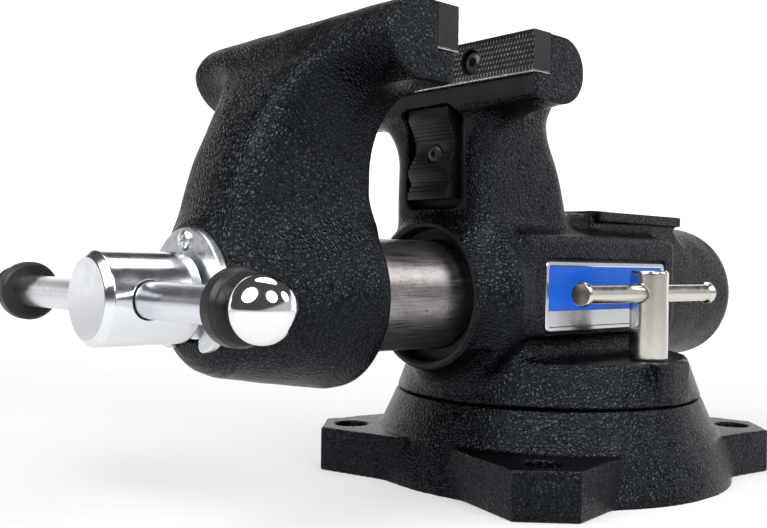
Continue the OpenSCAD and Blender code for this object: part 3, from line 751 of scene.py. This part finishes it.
class Finish:
    """A material and short calls for the nodes that the finishes share. Sizes are in metres."""

    def __init__(self, name, colour, roughness, metallic=0.0, coat=0.0, coat_roughness=0.1, specular=0.5):
        self.material = bpy.data.materials.new(name)
        self.material.use_nodes = True
        self.tree = self.material.node_tree
        self.shader = self.tree.nodes["Principled BSDF"]
        self.place = self.tree.nodes.new("ShaderNodeTexCoord").outputs["Object"]
        values = {"Base Color": (*colour, 1), "Roughness": roughness, "Metallic": metallic,
                  "Coat Weight": coat, "Coat Roughness": coat_roughness, "Specular IOR Level": specular}
        for socket, value in values.items():
            self.shader.inputs[socket].default_value = value

    def link(self, output, node, socket):
        self.tree.links.new(output, node.inputs[socket])

    def stretch(self, scale):
        """Coordinates scaled by a factor for each axis: a small one lengthens a pattern along its axis."""
        node = self.tree.nodes.new("ShaderNodeMapping")
        node.inputs["Scale"].default_value = scale
        self.link(self.place, node, "Vector")
        return node.outputs["Vector"]

    def noise(self, size, detail=3.0, roughness=0.55, place=None, distortion=0.0):
        node = self.tree.nodes.new("ShaderNodeTexNoise")
        node.inputs["Scale"].default_value = 1 / size
        node.inputs["Detail"].default_value = detail
        node.inputs["Roughness"].default_value = roughness
        node.inputs["Distortion"].default_value = distortion
        self.link(place or self.place, node, "Vector")
        return node.outputs["Fac"]

    def cells(self, size, warp):
        """The distance to the edges of cells, bent by a noise, as of drops of paint that ran together."""
        warp_noise = self.tree.nodes.new("ShaderNodeTexNoise")
        warp_noise.inputs["Scale"].default_value = 0.6 / size
        warp_noise.inputs["Detail"].default_value = 2.0
        self.link(self.place, warp_noise, "Vector")
        moved = self.tree.nodes.new("ShaderNodeVectorMath")
        moved.operation = "MULTIPLY_ADD"
        self.link(warp_noise.outputs["Color"], moved, 0)
        moved.inputs[1].default_value = (warp * size,) * 3
        self.link(self.place, moved, 2)
        node = self.tree.nodes.new("ShaderNodeTexVoronoi")
        node.feature = "DISTANCE_TO_EDGE"
        node.inputs["Scale"].default_value = 1 / size
        self.link(moved.outputs["Vector"], node, "Vector")
        return node.outputs["Distance"]

    def ramp(self, value, low, high, start=0.0, end=1.0, smooth=True):
        """Maps low..high to start..end."""
        return map_range(self.tree, value, low, high, start, end, smooth)

    def maths(self, operation, a, b):
        node = self.tree.nodes.new("ShaderNodeMath")
        node.operation = operation
        for i, term in enumerate((a, b)):
            if isinstance(term, (int, float)):
                node.inputs[i].default_value = term
            else:
                self.link(term, node, i)
        return node.outputs[0]

    def colours(self, value, *stops):
        """Blends between colours: stops are (position, colour) pairs."""
        node = self.tree.nodes.new("ShaderNodeValToRGB")
        ramp = node.color_ramp
        for i, (position, colour) in enumerate(stops):
            element = ramp.elements[i] if i < 2 else ramp.elements.new(position)
            element.position = position
            element.color = (*colour, 1)
        self.link(value, node, "Fac")
        self.link(node.outputs["Color"], self.shader, "Base Color")

    def rough(self, value):
        self.link(value, self.shader, "Roughness")

    def patchy(self, size, detail, start, end):
        """A roughness that wanders from start to end."""
        self.rough(self.ramp(self.noise(size, detail), 0.3, 0.7, start, end))

    def bump(self, value, depth):
        """depth is the height in metres of a full step in value."""
        node = self.tree.nodes.new("ShaderNodeBump")
        node.inputs["Strength"].default_value = 1.0
        node.inputs["Distance"].default_value = depth
        self.link(value, node, "Height")
        self.link(node.outputs["Normal"], self.shader, "Normal")
        self.link(node.outputs["Normal"], self.shader, "Coat Normal")

    def attribute(self, name):
        node = self.tree.nodes.new("ShaderNodeAttribute")
        node.attribute_name = name
        return node.outputs["Fac"]


def hammered_enamel():
    """Black hammered enamel over cast iron: glossy drops about 2 mm across, with creases between whose darker colour
    is painted shade.
    Nearly all its light is reflection, so it is made as a dark metal, whose colour is its reflectance."""
    f = Finish("hammered_enamel", (0.024, 0.027, 0.032), 0.3, metallic=1.0)
    edge = f.cells(0.0019, 0.9)
    drops, dome = f.ramp(edge, 0.0, 0.16), f.ramp(edge, 0.0, 0.42)
    broad = f.noise(0.011, 3.0)
    calm = f.ramp(f.noise(0.03, 2.0), 0.35, 0.65, 0.65, 1.0)
    height = f.maths("MULTIPLY", f.maths("ADD", dome, f.maths("MULTIPLY", f.noise(0.0006, 2.0), 0.2)), calm)
    height = f.maths("ADD", height, f.maths("MULTIPLY", broad, 1.3))
    f.bump(height, 0.0003)
    f.rough(f.ramp(f.maths("MULTIPLY", drops, f.noise(0.003, 3.0)), 0.0, 0.6, 0.41, 0.3))
    # the creases' darker colour is painted shade, standing in for the occlusion in the grooves between the drops
    f.colours(f.maths("MULTIPLY", drops, f.ramp(broad, 0.3, 0.7, 0.85, 1.0)),
              (0.05, (0.0085, 0.0094, 0.0112)), (0.75, (0.0215, 0.024, 0.029)))
    return f.material


def machined_black():
    """A machined face under a thin coat of the same enamel, smooth and dull."""
    f = Finish("machined_black", (0.007, 0.0075, 0.009), 0.46, specular=0.35)
    grain = f.noise(0.0005, 3.0)
    f.bump(f.maths("ADD", grain, f.noise(0.0002, 2.0, place=f.stretch((0.1, 1, 1)))), 0.00003)
    f.patchy(0.006, 3.0, 0.44, 0.58)
    return f.material


def bare_edge():
    """The bright line where the seat's milling left bare iron."""
    f = Finish("bare_edge", (0.42, 0.42, 0.41), 0.35, metallic=1.0)
    f.patchy(0.0006, 3.0, 0.25, 0.5)
    f.bump(f.noise(0.0003, 2.0, place=f.stretch((0.08, 1, 1))), 0.00002)
    return f.material


def insert_steel():
    """Blackened hardened steel, rubbed bright on the tips of its teeth, with a painted highlight along its lower
    edge.
    """
    f = Finish("insert_steel", (0.05, 0.045, 0.042), 0.42, metallic=0.7)
    # bright where the teeth's tips are worn, and along the lower edge as a painted highlight
    wear_and_edge_highlight = f.ramp(f.maths("ADD", f.attribute("tip"), f.ramp(f.noise(0.003, 4.0), 0.3, 0.7, -0.1, 0.06)),
                  0.5, 1.0, smooth=False)
    f.colours(wear_and_edge_highlight, (0.0, (0.018, 0.0165, 0.017)), (0.35, (0.036, 0.034, 0.036)), (1.0, (0.38, 0.365, 0.37)))
    f.patchy(0.0015, 4.0, 0.36, 0.56)
    f.bump(f.noise(0.0005, 4.0), 0.00006)
    return f.material


def black_phosphate(name="black_phosphate", colour=(0.045, 0.043, 0.046), roughness=0.3):
    """Phosphated steel, dark and a little uneven."""
    f = Finish(name, colour, roughness, metallic=0.3, specular=0.45)
    f.patchy(0.0012, 4.0, roughness - 0.08, roughness + 0.14)
    f.bump(f.noise(0.0004, 3.0), 0.00003)
    return f.material


def chrome():
    """Polished chrome with the faintest waviness and haze."""
    f = Finish("chrome", (0.86, 0.86, 0.87), 0.06, metallic=1.0)
    f.rough(f.ramp(f.noise(0.008, 4.0), 0.3, 0.75, 0.035, 0.1))
    f.bump(f.noise(0.009, 2.0), 0.00002)
    return f.material


def bar_chrome():
    """The handle's bar: drawn steel under a softer plating than the balls have."""
    f = Finish("bar_chrome", (0.73, 0.745, 0.80), 0.24, metallic=1.0)
    drawn = f.noise(0.0009, 3.0, place=f.stretch((0.03, 1, 1)))
    f.bump(drawn, 0.000002)
    f.patchy(0.004, 4.0, 0.22, 0.27)
    return f.material


def satin_chrome():
    """The turned head: plated over fine turning marks."""
    f = Finish("satin_chrome", (0.77, 0.785, 0.82), 0.17, metallic=1.0)
    rings = f.noise(0.0012, 3.0, place=f.stretch((0.02, 1, 0.02)))
    f.bump(f.maths("ADD", rings, f.noise(0.012, 2.0)), 0.000007)
    f.patchy(0.005, 4.0, 0.13, 0.2)
    return f.material


def zinc():
    """Bright zinc plate, faintly mottled."""
    f = Finish("zinc", (0.74, 0.75, 0.77), 0.28, metallic=1.0)
    mottle = f.noise(0.003, 4.0, distortion=0.6)
    f.colours(mottle, (0.3, (0.62, 0.64, 0.67)), (0.7, (0.78, 0.79, 0.81)))
    f.rough(f.ramp(mottle, 0.3, 0.7, 0.27, 0.36))
    f.bump(f.noise(0.0008, 3.0), 0.000015)
    return f.material


def nickel():
    """Nickel plate, warm and softly polished."""
    f = Finish("nickel", (0.70, 0.665, 0.61), 0.16, metallic=1.0)
    f.patchy(0.004, 4.0, 0.17, 0.24)
    f.bump(f.noise(0.004, 3.0), 0.00002)
    return f.material


def rubber():
    f = Finish("rubber", (0.0085, 0.0072, 0.0072), 0.4, specular=0.4)
    f.bump(f.noise(0.0009, 4.0), 0.00004)
    f.patchy(0.004, 4.0, 0.34, 0.5)
    return f.material


def tube_steel():
    """Bare steel tube: brownish, scratched along its length, with dark pits and oily stains."""
    f = Finish("tube_steel", (0.3, 0.28, 0.275), 0.36, metallic=1.0)
    scratches = f.noise(0.0006, 3.0, 0.6, place=f.stretch((1, 0.03, 1)))
    stains = f.noise(0.012, 5.0, 0.6, place=f.stretch((1, 0.6, 1)), distortion=0.4)
    pits = f.ramp(f.noise(0.0011, 3.0, 0.65), 0.32, 0.38)
    tone = f.maths("MULTIPLY", f.ramp(stains, 0.25, 0.75, 0.6, 1.0), f.ramp(pits, 0.0, 1.0, 0.25, 1.0))
    tone = f.maths("MULTIPLY", tone, f.ramp(scratches, 0.35, 0.65, 0.7, 1.0))
    f.colours(tone, (0.2, (0.07, 0.06, 0.058)), (0.95, (0.4, 0.375, 0.37)))
    f.rough(f.ramp(scratches, 0.3, 0.7, 0.27, 0.42))
    f.bump(f.maths("ADD", f.maths("MULTIPLY", scratches, 0.6), pits), 0.00005)
    return f.material


def cast_iron():
    f = Finish("cast_iron", (0.13, 0.125, 0.12), 0.6, metallic=0.7)
    grain = f.noise(0.0012, 5.0, 0.6)
    f.colours(grain, (0.3, (0.09, 0.085, 0.08)), (0.7, (0.2, 0.195, 0.185)))
    f.bump(grain, 0.00015)
    return f.material


def plate_silver():
    """The plate's bare aluminium, brushed along its length."""
    f = Finish("plate_silver", (0.80, 0.82, 0.86), 0.16, metallic=1.0)
    brushed = f.noise(0.0003, 3.0, place=f.stretch((1, 0.03, 1)))
    f.bump(f.maths("ADD", brushed, f.noise(0.02, 2.0)), 0.00001)
    f.rough(f.ramp(brushed, 0.3, 0.7, 0.12, 0.2))
    return f.material


def plate_blue():
    """The plate's upper field, filled with glossy blue enamel."""
    f = Finish("plate_blue", (0.0, 0.1, 0.7), 0.3, coat=0.2, coat_roughness=0.08, specular=0.3)
    f.colours(f.noise(0.02, 3.0), (0.3, (0.0, 0.085, 0.52)), (0.7, (0.0, 0.1, 0.58)))
    f.bump(f.noise(0.0015, 3.0), 0.000012)
    return f.material


def paint(obj, *materials, pick=None):
    """Gives an object its materials. pick chooses one for each face from the face's centre and normal."""
    obj.data.materials.clear()
    for material in materials:
        obj.data.materials.append(material)
    if pick:
        n = len(obj.data.polygons)
        centres, normals = np.empty(n * 3), np.empty(n * 3)
        obj.data.polygons.foreach_get("center", centres)
        obj.data.polygons.foreach_get("normal", normals)
        chosen = pick(centres.reshape(n, 3) / MM, normals.reshape(n, 3))
        obj.data.polygons.foreach_set("material_index", chosen.astype(np.int32))


def place(obj, body, slot, *nodes):
    """Rides a piece on its body in the place of its CAD nodes."""
    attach(obj, body)
    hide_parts(*nodes)


# ---------------------------------------------------------------- the vise

ENAMEL, MACHINED, BARE = hammered_enamel(), machined_black(), bare_edge()
INSERT, PHOSPHATE = insert_steel(), black_phosphate()
PIPE_STEEL = black_phosphate("pipe_jaw_black", (0.009, 0.0095, 0.011), 0.4)
CHROME, SATIN, ZINC, NICKEL = chrome(), satin_chrome(), zinc(), nickel()
RUBBER, TUBE, IRON = rubber(), tube_steel(), cast_iron()
SILVER, BLUE = plate_silver(), plate_blue()


def jaw_faces(seat, face, column, way):
    """Picks a jaw casting's finish by face: 0 enamel, 1 machined black, 2 bare where the seat was milled."""
    def pick(c, n):
        x, y, z = c.T
        toward = -way * n[:, 1]
        flat = (toward > 0.96) & (z > 135) & (np.abs(x) < 69)
        ledge = flat & (np.abs(y - (face + way * LEDGE)) < 0.6) & (z > 180)
        front = flat & (np.abs(y - column) < 0.6) & (z > 138)
        pocket = flat & (np.abs(y - (column + way * 6)) < 0.6)
        seat_floor = (np.abs(z - INSERT_Z) < 0.8) & (n[:, 2] > 0.6) & (way * (y - seat) < 0.5)
        seat_wall = (np.abs(y - seat) < 0.8) & (z > INSERT_Z) & (toward > 0.6) & (way < 0)
        bare = (seat_floor | seat_wall) & (np.abs(x) < JAW_X)
        rho = from_axis(x, z)
        bore = (rho < 34.5) | ((rho < 37.5) & (toward > 0.9) & (way > 0) & (y < column))
        return np.where(bare, 2, np.where(ledge | front | pocket | (bore & (y > NOSE_Y + 20)), 1, 0))
    return pick


front = cast("front_jaw_casting", front_casting, *box_mm("front_jaw"), 1.1)
paint(front, ENAMEL, MACHINED, BARE, pick=jaw_faces(MOVING_SEAT, MOVING_FACE, COLUMN_BACK, -1))
place(front, "slide", "casting", "front_jaw")

body = cast("vise_body_casting", body_casting, *box_mm("vise_body"), 1.2)
paint(body, ENAMEL, MACHINED, BARE, pick=jaw_faces(FIXED_SEAT, FIXED_FACE, COLUMN_FRONT, 1))
place(body, "vise", "casting", "vise_body")

base = cast("swivel_base_casting", base_casting, *box_mm("swivel_base"), 1.1)
paint(base, ENAMEL)
place(base, "base", "casting", "swivel_base")

for side, body_name, face, seat, way in (("rear", "vise", FIXED_FACE, FIXED_SEAT, 1),
                                         ("front", "slide", MOVING_FACE, MOVING_SEAT, -1)):
    insert = serrated_insert(f"{side}_serrated_insert", face, seat)
    paint(insert, INSERT)
    place(insert, body_name, "insert_steel", f"{side}_jaw_insert")
    places = [(x, face + way * INSERT_BORE, MID_Z) for x in (-INSERT_SCREW_X, INSERT_SCREW_X)]
    screws = screw_set(f"{side}_insert_socket_screws", socket_head, INSERT_HEAD, 3.2, 20, places, way)
    paint(screws, PHOSPHATE)
    place(screws, body_name, "dark_steel", f"{side}_insert_screws")
    grip = pipe_grip(f"{side}_pipe_grip", f"{side}_pipe_jaw", way)
    paint(grip, PIPE_STEEL)
    place(grip, body_name, "pipe_jaw_steel", f"{side}_pipe_jaw")
    low, high = box_mm(f"{side}_pipe_jaw")
    floor = (high[1] if way > 0 else low[1]) - way * PIPE_SCREW_SEAT
    screw = screw_set(f"{side}_pipe_socket_screw", socket_head, PIPE_HEAD, 2.6, 19,
                      [(0, floor, PIPE_SCREW_Z)], way)
    paint(screw, PHOSPHATE)
    place(screw, body_name, "dark_steel", f"{side}_pipe_jaw_screw")

keeper_cap = keeper("screw_keeper")
paint(keeper_cap, ZINC)
place(keeper_cap, "slide", "zinc_plate", "keeper_plate")
places = [(KEEPER_SCREW_R * cos(radians(a)), NOSE_Y - 4.1, AXIS_Z + KEEPER_SCREW_R * sin(radians(a)))
          for a in (90, 200, 340)]
screws = screw_set("keeper_cross_screws", phillips_head, CROSS_HEAD, 2.5, 15.1, places, 1, roll=0.75)
paint(screws, ZINC)
place(screws, "slide", "zinc_plate", "keeper_screws")

head = cast("screw_head", handle_head, SCREW_LOW, (SCREW_HIGH[0], NOSE_Y + 12, SCREW_HIGH[2]), 0.42)
paint(head, SATIN)
place(head, "screw", "chrome", "main_screw")
rod = thread_rod("screw_rod", NOSE_Y + 11.8, SCREW_HIGH[1], THREAD_R, LEAD, PLAIN)
paint(rod, IRON)
place(rod, "screw", "bright_steel", "main_screw")

paint(NODES["handle_bar"], bar_chrome())
for side in ("right", "left"):
    way = 1 if side == "right" else -1
    low, high = box_mm(f"handle_ball_{side}")
    start = low[0] if way > 0 else high[0]
    middle = abs(high[0] - low[0]) - BALL_R
    round_part = [(BALL_R * cos(radians(a)), middle + BALL_R * sin(radians(a))) for a in range(-41, 90, 5)]
    profile = [(0, 0.4), (8.2, 0.4)] + round_part + [(0.25, middle + BALL_R), (0, middle + BALL_R)]
    ball = lathe(f"handle_ball_end_{side}", [(r, start + way * t) for r, t in profile], "X", (BAR_Y, AXIS_Z))
    paint(ball, CHROME)
    place(ball, "handle", "chrome", f"handle_ball_{side}")
    low, high = box_mm(f"handle_bumper_{side}")
    a, b = (low[0], high[0]) if way > 0 else (high[0], low[0])
    profile = rounded([(BAR_R, a), (11.9, a), (BUMPER_R, a + way * 1.3), (BUMPER_R, b - way * 2.2),
                       (12, b), (BAR_R, b)], 0.8, 5)
    ring = lathe(f"handle_bumper_ring_{side}", profile + [profile[0]], "X", (BAR_Y, AXIS_Z))
    paint(ring, RUBBER)
    place(ring, "handle", "rubber", f"handle_bumper_{side}")

for side in ("right", "left"):
    way = 1 if side == "right" else -1
    low, high = box_mm(f"lock_nut_{side}")
    post = cast(f"lock_post_{side}", lock_post(way), low, high, 0.5)
    paint(post, NICKEL)
    place(post, f"lock_{side}", "nickel", f"lock_nut_{side}")
    end = box_mm(f"lock_bar_{side}")[1][1]
    half = rounded([(0, -end), (5.3, -end), (5.9, -end + 0.8), (5.9, -end + 2.3),
                    (4.5, -end + 3.8), (4.5, 0)], 0.5)
    profile = [tuple(p) for p in half] + [(r, -t) for r, t in reversed(half[:-1])]
    rod = lathe(f"lock_rod_{side}", profile, "Y", (way * LOCK_X, LOCK_BAR_Z), 64)
    paint(rod, NICKEL)
    place(rod, f"lock_handle_{side}", "nickel", f"lock_bar_{side}")
    plate_piece = name_plate(f"blank_plate_{side}", way)
    paint(plate_piece, SILVER, BLUE)
    plate_piece.data.polygons[-2].material_index = 1
    place(plate_piece, "vise", "name_plate", f"name_plate_{side}")

paint(NODES["slide_tube"], TUBE)
paint(NODES["spindle_nut"], IRON)
for node in ("nut_pin", "slide_key", "key_screw", "thrust_washer", "tube_pin",
             "lock_bolt_right", "lock_bolt_left"):
    paint(NODES[node], PHOSPHATE)


# ---------------------------------------------------------------- floor, light and camera

AZIMUTH, PITCH, ROLL = radians(47.9), radians(-0.01), radians(0.92)
CAMERA_AT, LENS = (0.33342, -0.42524, 0.1116), 44.42


def studio():
    """A pale floor that curves up behind the vise, and glows more there."""
    f = Finish("studio_white", (0.42, 0.42, 0.42), 0.9, specular=0.1)
    f.patchy(0.2, 2.0, 0.85, 0.95)
    f.shader.inputs["Emission Color"].default_value = (1, 1, 1, 1)
    behind = along_vector(f.tree, f.place, (-sin(AZIMUTH), cos(AZIMUTH), 0))
    f.link(f.ramp(behind, 0.15, 1.2, 0.45, 1.0), f.shader, "Emission Strength")
    bend = [(1.1 + 0.7 * sin(radians(a)), 0.7 - 0.7 * cos(radians(a))) for a in range(6, 91, 6)]
    profile = [(-4.5, 0.0), (1.1, 0.0)] + bend + [(1.8, 1.25)]
    along, across = Vector((-sin(AZIMUTH), cos(AZIMUTH), 0)), Vector((cos(AZIMUTH), sin(AZIMUTH), 0))
    verts = [along * d + across * w + Vector((0, 0, h)) for d, h in profile for w in (-5, 5)]
    faces = [(2 * i, 2 * i + 1, 2 * i + 3, 2 * i + 2) for i in range(len(profile) - 1)]
    obj = add_mesh("studio_floor", [tuple(v / MM) for v in verts], faces)
    paint(obj, f.material)


def softbox(name, azimuth, elevation, distance, width, height, power):
    """An area light that faces the vise. Azimuth is measured from the camera's side, to its right."""
    a, e = AZIMUTH + radians(azimuth), radians(elevation)
    out = Vector((sin(a) * cos(e), -cos(a) * cos(e), sin(e)))
    light = bpy.data.lights.new(name, "AREA")
    light.shape = "ELLIPSE"
    light.size, light.size_y = width, height
    light.energy = power
    obj = linked(name, light)
    obj.location = Vector((0, 0, 0.1)) + out * distance
    obj.rotation_euler = out.to_track_quat("Z", "Y").to_euler()


def camera():
    """The photo's viewpoint, a little above the screw's axis."""
    forward = Vector((-sin(AZIMUTH) * cos(PITCH), cos(AZIMUTH) * cos(PITCH), sin(PITCH)))
    right = Vector((cos(AZIMUTH), sin(AZIMUTH), 0))
    up = right.cross(forward)
    right, up = right * cos(ROLL) + up * sin(ROLL), up * cos(ROLL) - right * sin(ROLL)
    data = bpy.data.cameras.new("camera")
    data.sensor_width = 36
    data.lens = LENS
    data.clip_start, data.clip_end = 0.02, 20
    obj = linked("camera", data)
    obj.matrix_world = Matrix.Translation(CAMERA_AT) @ Matrix((right, up, -forward)).transposed().to_4x4()
    bpy.context.scene.camera = obj


studio()
camera()
softbox("softbox_left", -44, 36, 1.3, 0.95, 0.95, 15.0)
softbox("softbox_right", 30, 38, 1.3, 0.7, 0.8, 12.0)
softbox("softbox_side", 84, 34, 1.05, 0.5, 0.5, 2.8)
softbox("softbox_top", 180, 78, 1.5, 1.2, 0.8, 7.0)


def surroundings():
    """A studio's light: pale low down, behind the vise and to its right, and dark above and in front."""
    world = bpy.data.worlds.new("world")
    world.use_nodes = True
    tree = world.node_tree
    background = tree.nodes["Background"]
    direction = tree.nodes.new("ShaderNodeTexCoord").outputs["Generated"]
    lean = along_vector(tree, direction, (0.2 * sin(AZIMUTH) - 0.16, -0.2 * cos(AZIMUTH) - 0.14, 1.0))
    fade = map_range(tree, lean, 0.05, 0.24, 0.55, 0.07)
    tree.links.new(fade, background.inputs["Strength"])
    background.inputs["Color"].default_value = (0.96, 0.98, 1.0, 1)
    bpy.context.scene.world = world


surroundings()
bpy.context.scene.view_settings.view_transform = "Standard"
